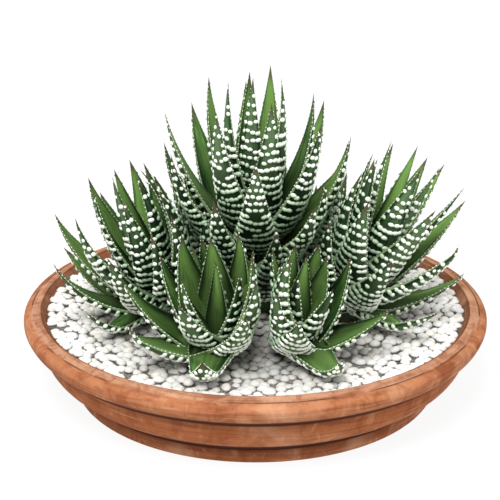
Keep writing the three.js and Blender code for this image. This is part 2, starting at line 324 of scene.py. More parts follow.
@dataclass(frozen=True)
class TerracottaFinish:
    """Fired clay, streaked and blotched, with painted shade in dark lines round its steps, along its rim's
    edges and on its inner wall, and a painted highlight that makes its rim's top paler.

    The heights and radii are the bowl's, in millimetres. An edge or a fade is where one
    colour begins to show and where it shows in full.
    """

    rim: Colour = paint(174, 112, 76)
    # The rim's top, paler as a painted highlight.
    rim_top: Colour = paint(184, 136, 106)
    belly: Colour = paint(163, 96, 58)
    foot: Colour = paint(146, 87, 54)
    # The inner wall, darker as painted shade.
    inside: Colour = paint(130, 90, 66)
    # Dark brown for the painted shade lines and soft painted shade round the rim and the foot, and for the
    # clay's real specks.
    shade_and_specks: Colour = paint(64, 26, 12)
    stain: Colour = paint(118, 58, 32)
    bloom: Colour = paint(218, 170, 134)
    belly_edge: Pair = (9.6, 11.6)
    rim_edge: Pair = (31.5, 33.5)
    top_edge: Pair = (43.0, 43.4)
    top_inner_edge: Pair = (110.9, 111.6)
    wall_outer_edge: Pair = (110.9, 110.3)
    wall_low_edge: Pair = (28.0, 29.0)
    side_inner_edge: Pair = (86.0, 90.0)
    rim_groove: float = 31.4
    rim_groove_fade: Pair = (3.0, 1.5)
    foot_groove: float = 11.0
    foot_groove_fade: Pair = (3.8, 1.9)
    shade_under_rim: tuple[Pair, Pair] = ((23.0, 31.0), (33.0, 31.0))
    shade_under_belly: tuple[Pair, Pair] = ((3.0, 9.0), (14.0, 11.0))
    corner_line: float = 43.2
    corner_inner_edge: Pair = (113.5, 114.5)
    lip_line: float = 110.6
    lip_low_edge: Pair = (43.2, 43.8)

    def material(self) -> Material:
        """The finish as a material.

        Returns:
            The material.
        """
        shader = Shader("terracotta_clay")
        step, noise = shader.step, shader.noise
        place = shader.place()
        x, y, z = shader.millimetres()
        radius = (x * x + y * y) ** 0.5
        ring = z + radius * 0.8
        fine = noise(shader.join(x * 0.03, y * 0.03, ring * 0.55), 1.0, 5, 0.8)
        broad = noise(shader.join(x * 0.016, y * 0.016, ring * 0.16), 1.0, 3, 1.2)
        patches = noise(place, 30, 4, 0.6)
        blotches = noise(shader.stretched(place, (150, 150, 70)), 1.0, 4, 1.0)
        grain = noise(place, 900, 3)
        specks = step(shader.cells(place, 420), 0.16, 0.08)

        # Painted shade: dark lines where the rim and the belly overhang, and soft shade below the rim and on
        # the foot band under the belly.
        groove_shade = step(abs(z - self.rim_groove), *self.rim_groove_fade) * 0.88
        groove_shade = groove_shade + step(abs(z - self.foot_groove), *self.foot_groove_fade) * 0.9
        for (low, high), share in ((self.shade_under_rim, 0.3), (self.shade_under_belly, 0.45)):
            groove_shade = groove_shade + step(z, *low) * step(z, *high) * share
        # Painted shade lines along the rim's outer top edge and round its inner lip.
        corner = step(abs(z - self.corner_line), 0.15, 0.05) * step(radius, *self.corner_inner_edge)
        lip = step(abs(radius - self.lip_line), 0.5, 0.2) * step(z, *self.lip_low_edge)
        colour = shader.layers(
            self.foot,
            (step(z, *self.belly_edge), self.belly),
            (step(z, *self.rim_edge), self.rim),
            # Painted highlight: the rim's upward-facing top is paler.
            (step(z, *self.top_edge) * step(radius, *self.top_inner_edge), self.rim_top),
            # Painted shade: the inner wall is darker.
            (step(radius, *self.wall_outer_edge) * step(z, *self.wall_low_edge), self.inside),
            (step(fine, 0.46, 0.68) * 0.55, self.stain),
            (step(broad, 0.5, 0.72) * 0.45, self.stain),
            (step(blotches, 0.5, 0.62) * 0.4, self.stain),
            (step(blotches, 0.44, 0.3) * 0.22, self.bloom),
            (step(patches, 0.5, 0.75) * 0.35, self.bloom),
            (step(fine, 0.42, 0.25) * 0.4, self.bloom),
            # Painted shade: the dark lines, the soft shade and the rim's two edge lines.
            (groove_shade * step(radius, *self.side_inner_edge), self.shade_and_specks),
            (corner * step(patches, 0.4, 0.55) * 0.75, self.shade_and_specks),
            (lip * 0.55, self.shade_and_specks),
            (specks * 0.3, self.shade_and_specks),
        )
        relief = shader.bump(fine * 0.6 + grain * 0.25 + broad * 0.3, 0.5, 0.5)
        return shader.finish(colour, 0.72 + grain * 0.22, Normal=relief, Specular_IOR_Level=0.1)


@dataclass(frozen=True)
class SoilFinish:
    """Dark, crumbly potting soil."""

    dark: Colour = paint(48, 36, 28)
    light: Colour = paint(96, 76, 58)
    grit: Colour = paint(170, 160, 145)

    def material(self) -> Material:
        """The finish as a material.

        Returns:
            The material.
        """
        shader = Shader("potting_soil")
        place = shader.place()
        crumbs = shader.noise(place, 300, 6, 0.5)
        lumps = shader.cells(place, 240)
        grit = shader.step(shader.cells(place, 520), 0.14, 0.07)
        crumb = shader.step(crumbs, 0.35, 0.7)
        colour = shader.layers(self.dark, (crumb, self.light), (grit * 0.7, self.grit))
        relief = shader.bump(lumps * 0.6 + crumbs, 0.9, 1.2)
        return shader.finish(colour, 0.95, Normal=relief, Specular_IOR_Level=0.2)


@dataclass(frozen=True)
class PebbleFinish:
    """White river pebbles, some greyer or warmer, with faint veins, greyer under the leaves as painted shadow
    and darker low on their sides as painted shade.

    Their attribute pebble holds how grey and how warm each is, and how low on it a point lies.
    """

    white: Colour = paint(240, 239, 236)
    grey: Colour = paint(112, 111, 109)
    warm: Colour = paint(228, 218, 204)
    vein: Colour = paint(150, 146, 140)
    # Near-black grey for the painted shade low on each pebble.
    gap_shade: Colour = paint(52, 51, 50)

    def material(self) -> Material:
        """The finish as a material.

        Returns:
            The material.
        """
        shader = Shader("white_pebble")
        step = shader.step
        place = shader.place()
        shade, warmth, low = shader.split(shader.attribute("pebble"))
        cloud = shader.noise(place, 260, 4, 0.3)
        vein = step(abs(shader.noise(place, 330, 2, 1.5) - 0.5), 0.035, 0.005)
        grain = shader.noise(place, 1600, 2)
        colour = shader.layers(
            self.white,
            # A pebble's own random grey, and the painted shadow of the leaves over it.
            (shade, self.grey),
            (warmth * 0.6, self.warm),
            (step(cloud, 0.5, 0.8) * 0.3, self.grey),
            (vein * warmth * 0.5, self.vein),
            # Painted shade low on each pebble's sides, where it meets its neighbours.
            (step(low, 0.3, 0.54) * 0.95, self.gap_shade),
        )
        relief = shader.bump(grain * 0.4 + cloud * 0.6, 0.35, 0.15)
        return shader.finish(colour, 0.5 + cloud * 0.3, Normal=relief)


@dataclass(frozen=True)
class BedFinish:
    """The shaded grit under and between the pebbles."""

    dark: Colour = paint(104, 100, 94)
    light: Colour = paint(158, 154, 147)

    def material(self) -> Material:
        """The finish as a material.

        Returns:
            The material.
        """
        shader = Shader("fine_grit")
        place = shader.place()
        grains = shader.cells(place, 700)
        cloud = shader.noise(place, 120, 4)
        lumps = shader.step(grains, 0.2, 0.6)
        colour = shader.layers(self.light, (lumps, self.dark), (cloud * 0.4, self.dark))
        return shader.finish(colour, 0.9, Normal=shader.bump(1 - grains, 0.8, 0.6))


@dataclass(frozen=True)
class LeafFinish:
    """Leaf skin: smooth green inside, deeper green outside, with a pale margin and a dry tip, and painted
    shade at its root, along its sides and deep among the other leaves.

    Its attribute leaf holds the share of the way to the tip, the place across from -1 to 1,
    and how far round the outer face a point is. Its attribute growth holds the leaf's own
    shade, its age and where its streaks are read. Its attribute cover says how deep in the
    shade of the other leaves a point lies.
    """

    inner_dark: Colour = paint(32, 72, 30)
    inner_light: Colour = paint(118, 156, 80)
    outer_dark: Colour = paint(20, 48, 22)
    outer_light: Colour = paint(92, 120, 80)
    # Near-black green for the painted shade.
    painted_shade: Colour = paint(4, 18, 6)
    margin: Colour = paint(168, 190, 140)
    tip: Colour = paint(84, 72, 58)

    def material(self) -> Material:
        """The finish as a material.

        Returns:
            The material.
        """
        shader = Shader("leaf_skin")
        step, noise = shader.step, shader.noise
        along, across, outer = shader.split(shader.attribute("leaf"))
        shade, age, offset = shader.split(shader.attribute("growth"))
        cover = shader.split(shader.attribute("cover"))[0]
        streaks = noise(shader.join(across * 5.5, along * 2.2, offset), 1.6, 4, 0.4)
        wash = noise(shader.join(across * 1.2, along * 4.0, offset + 9.0), 1.3, 3, 0.8)
        pores = noise(shader.place(), 1500, 2)

        edge = abs(across)
        # Painted shade: the tone falls from the leaf's middle towards its sides.
        tone = streaks * 0.9 + wash * 0.9 + shade * 0.5 - edge * edge * 0.35 - 0.45
        dry = step(along + wash * 0.08, 0.87, 1.03) + step(along, 0.88, 1.0) * age * 0.4
        inner_face = shader.layers(self.inner_dark, (step(tone, 0.1, 0.95), self.inner_light))
        outer_face = shader.layers(self.outer_dark, (step(tone, 0.1, 0.8), self.outer_light))
        colour = shader.layers(
            inner_face,
            (step(outer, 0.02, 0.12), outer_face),
            # Painted shade along the leaf's sides, at its root, and where other leaves cover it.
            (step(edge, 0.6, 0.98) * 0.6, self.outer_dark),
            (step(along, 0.3, 0.02) * 0.7, self.painted_shade),
            (step(cover, 0.38, 0.9) * 0.9, self.painted_shade),
            (step(edge, 0.955, 0.985) * 0.5, self.margin),
            (step(dry, 0.0, 1.0) * 0.9, self.tip),
        )
        relief = shader.bump(streaks * 0.7 + pores * 0.3, 0.35, 0.35)
        return shader.finish(colour, 0.5 + streaks * 0.18, Normal=relief, Specular_IOR_Level=0.1)


@dataclass(frozen=True)
class TubercleFinish:
    """The raised white dots and bands, painted darker near the leaf's root and among other leaves as painted
    shade. Its attribute dot holds height, how lit it is painted, and shade.
    """

    white: Colour = paint(250, 254, 244)
    pale: Colour = paint(206, 228, 190)
    foot: Colour = paint(76, 112, 70)
    # Painted shade colours for dots deep in the rosette.
    half_shade: Colour = paint(156, 194, 148)
    deep: Colour = paint(34, 70, 36)

    def material(self) -> Material:
        """The finish as a material.

        Returns:
            The material.
        """
        shader = Shader("white_tubercle")
        height, lit_share, shade = shader.split(shader.attribute("dot"))
        cloud = shader.noise(shader.place(), 700, 3)
        colour = shader.layers(
            self.foot,
            (shader.step(height, 0.0, 0.22), self.white),
            (shade * 0.2 + cloud * 0.15, self.pale),
            # Painted shade: dots near the leaf's root and among other leaves turn pale, then dark green.
            (shader.step(lit_share, 0.8, 0.45) * 0.7, self.half_shade),
            (shader.step(lit_share, 0.6, 0.1) * 0.85, self.deep),
        )
        relief = shader.bump(cloud, 0.3, 0.2)
        return shader.finish(colour, 0.5 + cloud * 0.2, Normal=relief, Specular_IOR_Level=0.35)


@dataclass(frozen=True)
class StemFinish:
    """The short stem, pale where it is buried, brown at the gravel line and green above it."""

    buried: Colour = paint(150, 132, 96)
    brown: Colour = paint(84, 70, 46)
    green: Colour = paint(52, 74, 40)
    brown_edge: Pair = (34.0, 42.0)
    green_edge: Pair = (42.0, 46.0)

    def material(self) -> Material:
        """The finish as a material.

        Returns:
            The material.
        """
        shader = Shader("stem_bark")
        z = shader.millimetres()[2]
        scars = shader.noise(shader.stretched(shader.place(), (300, 300, 1400)), 1.0, 4)
        colour = shader.layers(
            self.buried,
            (shader.step(z, *self.brown_edge), self.brown),
            (shader.step(z, *self.green_edge), self.green),
            (shader.step(scars, 0.5, 0.7) * 0.5, self.brown),
        )
        return shader.finish(colour, 0.8, Normal=shader.bump(scars, 0.7, 0.6))


@dataclass(frozen=True)
class FloorFinish:
    """A plain studio floor that shines faintly, so it stays white under the bowl's warm bounce."""

    grey: Colour = (0.12, 0.12, 0.12, 1.0)
    pale: Colour = (0.14, 0.14, 0.14, 1.0)
    shine: float = 0.9

    def material(self) -> Material:
        """The finish as a material.

        Returns:
            The material.
        """
        shader = Shader("studio_floor")
        colour = shader.layers(self.grey, (shader.noise(shader.place(), 3, 2) * 0.3, self.pale))
        return shader.finish(
            colour, 0.9, Specular_IOR_Level=0.0, Emission_Color=WHITE, Emission_Strength=self.shine
        )


def add_object(name: str, data: bpy.types.ID) -> bpy.types.Object:
    """Adds a mesh, a light or a camera to the scene.

    Args:
        name: The object's name.
        data: What it shows.

    Returns:
        The object.
    """
    added = bpy.data.objects.new(name, data)
    bpy.context.scene.collection.objects.link(added)
    return added


def add_mesh(name: str, body: Mesh, material: Material) -> bpy.types.Object:
    """Adds a mesh in metres to the scene.

    Args:
        name: The object's name.
        body: Its mesh, which is freed.
        material: Its finish.

    Returns:
        The object.
    """
    mesh = bpy.data.meshes.new(name)
    body.to_mesh(mesh)
    body.free()
    mesh.materials.append(material)
    return add_object(name, mesh)


def write_piece(name: str, body: Mesh, material: Material, slot: Slot, node: str) -> Piece:
    """Writes a mesh in metres as a piece that rides with the object.

    Args:
        name: The piece's name.
        body: Its mesh, which is freed.
        material: Its finish.
        slot: Not used.
        node: The CAD node that it stands for, by itself or together with other pieces.

    Returns:
        The piece.
    """
    piece = add_mesh(name, body, material)
    piece.data.shade_smooth()
    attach(piece, BODY)
    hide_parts(node)
    return piece


def turned(outline: Sequence[Triple], segments: int) -> Mesh:
    """Turns an outline round the Z axis.

    Args:
        outline: The outline as radius, height and rounding in millimetres. It closes on
            itself, unless both its ends are on the axis.
        segments: The number of steps round.

    Returns:
        The closed mesh, in metres.
    """
    body = bmesh.new()
    points = [body.verts.new((radius * MM, 0.0, height * MM)) for radius, height, _ in outline]
    on_axis = outline[0][0] == 0 and outline[-1][0] == 0
    for pair in zip(points, points[1:] if on_axis else points[1:] + points[:1]):
        body.edges.new(pair)
    for rounding in sorted({rounding for _, _, rounding in outline if rounding > 0}):
        rounded = [point for point, (_, _, own) in zip(points, outline) if own == rounding]
        bmesh.ops.bevel(
            body, geom=rounded, offset=rounding * MM, offset_type="OFFSET", affect="VERTICES",
            segments=4, profile=0.5, material=-1,
        )
        points = [point for point in points if point.is_valid]
        outline = [row for row in outline if row[2] != rounding]
    bmesh.ops.spin(
        body, geom=body.verts[:] + body.edges[:], cent=(0, 0, 0), axis=(0, 0, 1),
        angle=2 * math.pi, steps=segments, use_merge=True,
    )
    bmesh.ops.remove_doubles(body, verts=body.verts[:], dist=1e-6)
    bmesh.ops.recalc_face_normals(body, faces=body.faces[:])
    return body


def repeated(blank: Mesh, count: int) -> Mesh:
    """Repeats a small mesh by copying what is there until there are enough.

    Args:
        blank: The small mesh, which is used up.
        count: How many there are in the end.

    Returns:
        The mesh. Two layers hold each vertex's copy and its number in the small mesh.
    """
    copy_layer = blank.verts.layers.int.new("copy")
    corner_layer = blank.verts.layers.int.new("corner")
    for number, vertex in enumerate(blank.verts):
        vertex[corner_layer] = number
    made = 1
    while made < count:
        more = min(made, count - made)
        chosen = [vertex for vertex in blank.verts if vertex[copy_layer] < more]
        for part in (blank.edges, blank.faces):
            chosen += [element for element in part if element.verts[0][copy_layer] < more]
        for element in bmesh.ops.duplicate(blank, geom=chosen)["geom"]:
            if isinstance(element, bmesh.types.BMVert):
                element[copy_layer] += made
        made += more
    return blank


def write_copies(
    name: str, blank: Mesh, points: np.ndarray, attributes: dict[str, np.ndarray],
    material: Material, slot: Slot, node: str,
) -> Piece:
    """Writes copies of a small mesh as one piece.

    Args:
        name: The piece's name.
        blank: The small mesh, which is used up.
        points: The place of every copy's every vertex, in millimetres.
        attributes: Three numbers for each of them, by the attribute's name.
        material: The piece's finish.
        slot: Not used here; passed on to write_piece, which doesn't use it either.
        node: The CAD node that the piece stands for.

    Returns:
        The piece.
    """
    piece = write_piece(name, repeated(blank, len(points)), material, slot, node)
    mesh = piece.data
    order = []
    for layer in ("copy", "corner"):
        numbers = np.zeros(len(mesh.vertices), np.int32)
        mesh.attributes[layer].data.foreach_get("value", numbers)
        mesh.attributes.remove(mesh.attributes[layer])
        order.append(numbers)
    places = (points[tuple(order)] * MM).astype(np.float32)
    mesh.vertices.foreach_set("co", places.ravel())
    for key, values in attributes.items():
        layer = mesh.attributes.new(key, "FLOAT_VECTOR", "POINT")
        layer.data.foreach_set("vector", values[tuple(order)].astype(np.float32).ravel())
    mesh.update()
    return piece


def template(body: Mesh) -> np.ndarray:
    """The vertices of a mesh as an array."""
    return np.array([vertex.co[:] for vertex in body.verts])


@dataclass
class Bowl:
    """The shallow bowl: a rolled rim, a bellied band and a plain band at the foot.

    The end of the rim's face and its shoulder are in shares of the rim's rounding.
    """

    node: str = "bowl"
    segments: int = 192
    rim_radius: float = 120.0
    rim_edge_radius: float = 110.6
    rim_top: float = 44.5
    rim_face_low: float = 34.2
    rim_rounding: float = 1.8
    rim_face_end: float = 2.2
    rim_shoulder: Pair = (0.7, 1.1)
    lip_step: float = 0.4
    belly_top: Pair = (111.6, 28.6)
    belly_foot: Pair = (101.0, 12.4)
    belly_bulge: float = 2.3
    belly_steps: int = 9
    foot_band_radius: float = 95.6
    foot_band_top: float = 9.2
    foot_radius: float = 92.8
    foot_rounding: float = 1.4
    foot_ring_inner_radius: float = 79.0
    foot_recess: float = 1.5
    drain_radius: float = 7.0
    floor: float = 7.5
    inside: tuple[Pair, ...] = ((86.5, 7.5), (92.5, 10.5), (103.6, 30), (107.2, 40))
    wobble: float = 0.25

    def belly(self) -> list[Triple]:
        """The belly's outline from its foot to its top, bowed outwards by an arc.

        Returns:
            Points as radius, height and rounding.
        """
        (top_radius, top_height), (foot_radius, foot_height) = self.belly_top, self.belly_foot
        length = math.hypot(top_radius - foot_radius, top_height - foot_height)
        outward = ((top_height - foot_height) / length, (foot_radius - top_radius) / length)
        points = []
        for index in range(self.belly_steps + 1):
            t = index / self.belly_steps
            bulge = self.belly_bulge * math.sin(math.pi * t)
            radius = foot_radius + (top_radius - foot_radius) * t + outward[0] * bulge
            height = foot_height + (top_height - foot_height) * t + outward[1] * bulge
            points.append((radius, height, 0.0))
        return points

    def outline(self) -> list[Triple]:
        """The bowl's whole outline.

        Returns:
            Points as radius, height and rounding, from the drain hole outwards and back.
        """
        edge = self.rim_rounding
        shoulder_in, shoulder_down = self.rim_shoulder
        outline = [
            (self.drain_radius, self.floor, 0.8),
            (self.drain_radius, self.foot_recess, 0.5),
            (self.foot_ring_inner_radius, self.foot_recess, 0.5),
            (self.foot_ring_inner_radius, 0.0, 0.5),
            (self.foot_radius, 0.0, 0.6),
            (self.foot_radius + self.foot_rounding, self.foot_rounding, 0.6),
            (self.foot_band_radius, self.foot_band_top, 0.9),
            *self.belly(),
            (self.belly_top[0] + self.lip_step, self.belly_top[1] + 2 * self.lip_step, 0.3),
            (self.rim_radius - edge, self.rim_face_low, 1.2),
            (self.rim_radius, self.rim_face_low + 2 * edge, 1.2),
            (self.rim_radius, self.rim_top - self.rim_face_end * edge, 0.9),
            (self.rim_radius - shoulder_in * edge, self.rim_top - shoulder_down * edge, 0.9),
            (self.rim_edge_radius, self.rim_top, 0.8),
        ]
        return outline + [(radius, height, 0.0) for radius, height in reversed(self.inside)]

    def build(self, material: Material) -> Piece:
        """Makes the bowl, a little out of round as a hand-turned one is.

        Args:
            material: Its finish.

        Returns:
            The piece.
        """
        body = turned(self.outline(), self.segments)
        for vertex in body.verts:
            angle = math.atan2(vertex.co.y, vertex.co.x)
            out = vertex.co.xy.length / (self.rim_radius * MM)
            # Two waves run round the bowl, and the finer one turns with the height.
            sway = 0.5 + 0.3 * math.sin(2 * angle + 0.7) + 0.2 * math.sin(5 * angle + vertex.co.z * 90)
            vertex.co.xy *= 1 - sway * self.wobble * out / self.rim_radius
        return write_piece("bowl_turned", body, material, Slot.TERRACOTTA, self.node)


@dataclass
class Fill:
    """What the bowl holds: soil below, and a bed of white pebbles on top.

    The pebbles lie about a pitch apart, each shaken by up to the jitter. Their shade says how
    grey they are: a little by chance, and more under the leaves as painted shadow.
    """

    soil_node: str = "soil"
    gravel_node: str = "gravel"
    bed_radius: float = 107.4
    bed_top: float = 40.4
    bed_low: float = 31.0
    bed_low_radius: float = 102.4
    wall_radius: float = 108.2
    pitch: float = 5.3
    jitter: float = 1.5
    top: float = 41.2
    top_spread: float = 2.2
    mound: float = 0.1
    half_length: float = 3.25
    half_width: float = 2.7
    half_height: float = 2.3
    spread: float = 0.16
    tilt: float = 22.0
    overhang_share: float = 0.55
    dent: float = 0.04
    shade_scatter: float = 0.07
    most_shade: float = 0.6
    shade_share: float = 1.5
    open_cover: float = 0.62
    warmth_middle: float = 0.25
    warmth_scatter: float = 0.3
    bed_segments: int = 96
    seed: int = 71

    def dress_soil(self, material: Material) -> None:
        """Gives the soil its finish.

        Args:
            material: The finish.
        """
        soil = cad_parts[self.soil_node]
        soil.data.materials.clear()
        soil.data.materials.append(material)

    def build_bed(self, material: Material) -> Piece:
        """Makes the body of fine grit that the pebbles lie on.

        Args:
            material: Its finish.

        Returns:
            The piece.
        """
        outline = [
            (0.0, self.bed_low, 0.0),
            (self.bed_low_radius, self.bed_low, 0.0),
            (self.bed_radius, self.bed_top, 0.0),
            (0.0, self.bed_top, 0.0),
        ]
        body = turned(outline, self.bed_segments)
        return write_piece("gravel_bed", body, material, Slot.PEBBLES, self.gravel_node)

    def feet(self, stems: Sequence[Triple], rng: np.random.Generator) -> np.ndarray:
        """Where the pebbles lie: a shaken lattice, drawn in at the wall and open at the stems.

        Args:
            stems: Each stem's place and radius.
            rng: The random numbers.

        Returns:
            A row of two numbers for each pebble.
        """
        limit = self.wall_radius - self.half_width
        count = int(2 * self.wall_radius / self.pitch) + 2
        columns, rows = np.meshgrid(np.arange(-count, count), np.arange(-count, count))
        x = (columns + 0.5 * (rows % 2)).ravel() * self.pitch
        y = rows.ravel() * self.pitch * math.sqrt(0.75)
        places = np.column_stack([x, y]) + rng.uniform(-self.jitter, self.jitter, (x.size, 2))
        radius = np.hypot(places[:, 0], places[:, 1])
        kept = radius < limit + self.overhang_share * self.pitch
        places, radius = places[kept], radius[kept]
        places *= np.minimum(1, limit / np.maximum(radius, 1))[:, None]
        for stem_x, stem_y, stem_radius in stems:
            places = places[np.hypot(places[:, 0] - stem_x, places[:, 1] - stem_y) > stem_radius]
        return places

    def build_pebbles(self, material: Material, stems: Sequence[Triple], canopy: "Canopy") -> list[Piece]:
        """Makes the pebbles, the left half and the right half as a piece each.

        Args:
            material: Their finish.
            stems: Each stem's place and radius.
            canopy: The leaves, whose shadow is painted on the pebbles under them as grey.

        Returns:
            The two pieces.
        """
        rng = np.random.default_rng(self.seed)
        places = self.feet(stems, rng)
        count = len(places)
        sizes = np.array([self.half_length, self.half_width, self.half_height])
        sizes = sizes * (1 + rng.uniform(-self.spread, self.spread, (count, 3)))
        turns = np.array([
            (Matrix.Rotation(turn, 3, "Z") @ Matrix.Rotation(tip, 3, "X"))[:]
            for turn, tip in zip(
                rng.uniform(0, 2 * math.pi, count),
                np.radians(rng.uniform(-self.tilt, self.tilt, count)),
            )
        ])
        tops = self.top + rng.uniform(0, self.top_spread, count)
        tops += self.mound * (1 - (np.hypot(places[:, 0], places[:, 1]) / self.wall_radius) ** 2)
        shade = np.clip(rng.normal(0.0, self.shade_scatter, count), 0, self.most_shade)
        # Painted shadow: the pebbles under the leaves are greyed.
        cover = canopy.shade(np.column_stack([places, tops]), np.tile([0.0, 0.0, 1.0], (count, 1)))
        shade += self.shade_share * np.maximum(0, cover - self.open_cover)
        warmth = np.clip(rng.normal(self.warmth_middle, self.warmth_scatter, count), 0, 1)
        pieces = []
        for side, chosen in (("left", places[:, 0] < 0), ("right", places[:, 0] >= 0)):
            blank = bmesh.new()
            bmesh.ops.create_uvsphere(blank, u_segments=9, v_segments=6, radius=1.0)
            shape = template(blank)
            dents = 1 + rng.uniform(-self.dent, self.dent, (int(chosen.sum()), len(shape), 1))
            local = shape[None] * dents * sizes[chosen][:, None]
            points = np.einsum("nij,nvj->nvi", turns[chosen], local)
            points[:, :, 2] += (tops[chosen] - points[:, :, 2].max(axis=1))[:, None]
            points[:, :, :2] += places[chosen][:, None]
            low = np.clip((tops[chosen][:, None] - points[:, :, 2]) / (2 * self.half_height), 0, 1)
            tints = [np.broadcast_to(tint[chosen][:, None], low.shape) for tint in (shade, warmth)]
            attributes = {"pebble": np.stack([*tints, low], axis=-1)}
            pieces.append(write_copies(
                f"pebbles_{side}", blank, points, attributes, material, Slot.PEBBLES, self.gravel_node
            ))
        return pieces


@dataclass(frozen=True)
class Plane:
    """A plane that leaves stay behind, where their reach along normal is under limit."""

    normal: np.ndarray
    limit: float


@dataclass
class Leaf:
    """One leaf: an arc from the rosette's axis, with its width, all in the rosette's frame."""

    azimuth: float
    tilt: float
    length: float
    curl: float
    width: float
    rise: float
    stem: float

    def spine(self, s: np.ndarray) -> tuple[np.ndarray, np.ndarray, np.ndarray]:
        """The arc that the leaf follows.

        Args:
            s: Shares of the way to the tip.

        Returns:
            How far out and up it is there, and its angle from upright.
        """
        curl = math.radians(self.curl)
        first = math.radians(self.tilt) + curl / 2
        angle = first - curl * s
        scale = self.length / curl
        out = self.stem + scale * (np.cos(angle) - math.cos(first))
        up = self.rise + scale * (math.sin(first) - np.sin(angle))
        return out, up, angle


@dataclass(frozen=True)
class LeafRule:
    """The shape that all leaves share, and the room that they keep to."""

    thickness_to_half_width: float = 0.62
    base_narrowing: float = 0.6
    base_share: float = 0.3
    taper_power: float = 1.35
    taper_sharpness: float = 1.05
    band_height: float = 0.6
    root_sink: float = 3.0
    leaf_floor: float = 44.2
    leaf_reach: float = 107.0
    stations: int = 61
    fitting_rounds: int = 3
    easing_rounds: int = 3
    roundness: float = 0.85
    channel: float = 0.13
    channel_edge_power: float = 1.4

    def taper(self, s: np.ndarray) -> np.ndarray:
        """A leaf's half width as a part of the widest, by its share of the way to the tip."""
        blade = np.maximum(0, 1 - s**self.taper_power) ** self.taper_sharpness
        swell = np.sin(math.pi / 2 * np.minimum(1, s / self.base_share))
        return blade * (self.base_narrowing + (1 - self.base_narrowing) * swell)


RULE = LeafRule()


class LeafForm:
    """A leaf laid out in its rosette's space, which gives the place of any point on its skin."""

    def __init__(self, leaf: Leaf, axes: np.ndarray, foot: np.ndarray, planes: Sequence[Plane]) -> None:
        """Lays the leaf out and keeps it inside its bounds.

        Args:
            leaf: The leaf.
            axes: The rosette's frame, its columns the three axes.
            foot: The rosette's foot.
            planes: The planes that bound its space.
        """
        self.leaf = leaf
        turn = math.radians(leaf.azimuth)
        outward = axes @ np.array([math.cos(turn), math.sin(turn), 0.0])
        self.across = axes @ np.array([-math.sin(turn), math.cos(turn), 0.0])
        upward = axes[:, 2]
        self.shares = np.linspace(0, 1, RULE.stations)
        out, up, angle = leaf.spine(self.shares)
        centres = foot + np.outer(out, outward) + np.outer(up, upward)
        self.backs = np.outer(np.cos(angle), outward) - np.outer(np.sin(angle), upward)
        self.half_widths = leaf.width / 2 * RULE.taper(self.shares)
        thickness = self.half_widths * RULE.thickness_to_half_width + RULE.band_height
        for _ in range(RULE.fitting_rounds):
            for plane in planes:
                reach = np.abs(self.across @ plane.normal) * self.half_widths
                reach = reach + np.maximum(0, self.backs @ plane.normal) * thickness
                over = np.maximum(0, centres @ plane.normal + reach - plane.limit)
                centres -= np.outer(over, plane.normal)
            radius = np.hypot(centres[:, 0], centres[:, 1])
            over_rim = np.maximum(0, radius + self.half_widths - RULE.leaf_reach)
            centres[:, :2] *= (1 - over_rim / np.maximum(radius, 1))[:, None]
        for _ in range(RULE.easing_rounds):
            centres[1:-1] = (centres[:-2] + 2 * centres[1:-1] + centres[2:]) / 4
        self.centres = centres
        self.shades = np.zeros((1, 4))

    def cover(self, s: np.ndarray, phi: np.ndarray) -> np.ndarray:
        """How deep in the shade of the other leaves points on the skin lie.

        Args:
            s: Shares of the way to the tip.
            phi: Angles round the section.

        Returns:
            A share for each point.
        """
        rows = np.linspace(0, 1, len(self.shades))
        around = [np.cos(phi), np.sin(phi), -np.cos(phi), -np.sin(phi)]
        return sum(
            np.maximum(0, part) ** 2 * np.interp(s, rows, column)
            for part, column in zip(around, self.shades.T)
        )

    def read(self, table: np.ndarray, s: np.ndarray) -> np.ndarray:
        """Reads a table of the stations between its rows."""
        return np.stack([np.interp(s, self.shares, column) for column in table.T], axis=-1)

    def skin(self, s: np.ndarray, phi: np.ndarray) -> np.ndarray:
        """Points on the leaf's skin.

        Args:
            s: Shares of the way to the tip.
            phi: Angles round the section: 0 to pi goes over the outer face.

        Returns:
            The points.
        """
        half = np.interp(s, self.shares, self.half_widths)
        thickness = half * RULE.thickness_to_half_width
        side = np.cos(phi)
        bow = np.maximum(0, np.sin(phi)) ** RULE.roundness * thickness
        channel = RULE.channel * half * (1 - np.abs(side) ** RULE.channel_edge_power)
        channel = channel * np.sin(math.pi * np.clip(s, 0, 1)) ** 0.5
        depth = np.where(np.sin(phi) >= 0, bow, channel)
        points = self.read(self.centres, s) + (side * half)[..., None] * self.across
        return points + depth[..., None] * self.read(self.backs, s)

    def directions(self, s: np.ndarray, phi: np.ndarray) -> tuple[np.ndarray, np.ndarray, np.ndarray]:
        """The skin's own directions on the outer face.

        Args:
            s: Shares of the way to the tip.
            phi: Angles over the outer face.

        Returns:
            Unit vectors round the section, towards the tip, and out of the skin.
        """
        step = 0.01
        onward = self.skin(np.minimum(1, s + step), phi) - self.skin(np.maximum(0, s - step), phi)
        onward /= np.linalg.norm(onward, axis=-1, keepdims=True) + 1e-9
        flatness = np.cos(phi) * RULE.thickness_to_half_width
        normal = flatness[..., None] * self.across + np.sin(phi)[..., None] * self.read(self.backs, s)
        normal -= np.sum(normal * onward, axis=-1, keepdims=True) * onward
        normal /= np.linalg.norm(normal, axis=-1, keepdims=True) + 1e-9
        return np.cross(onward, normal), onward, normal


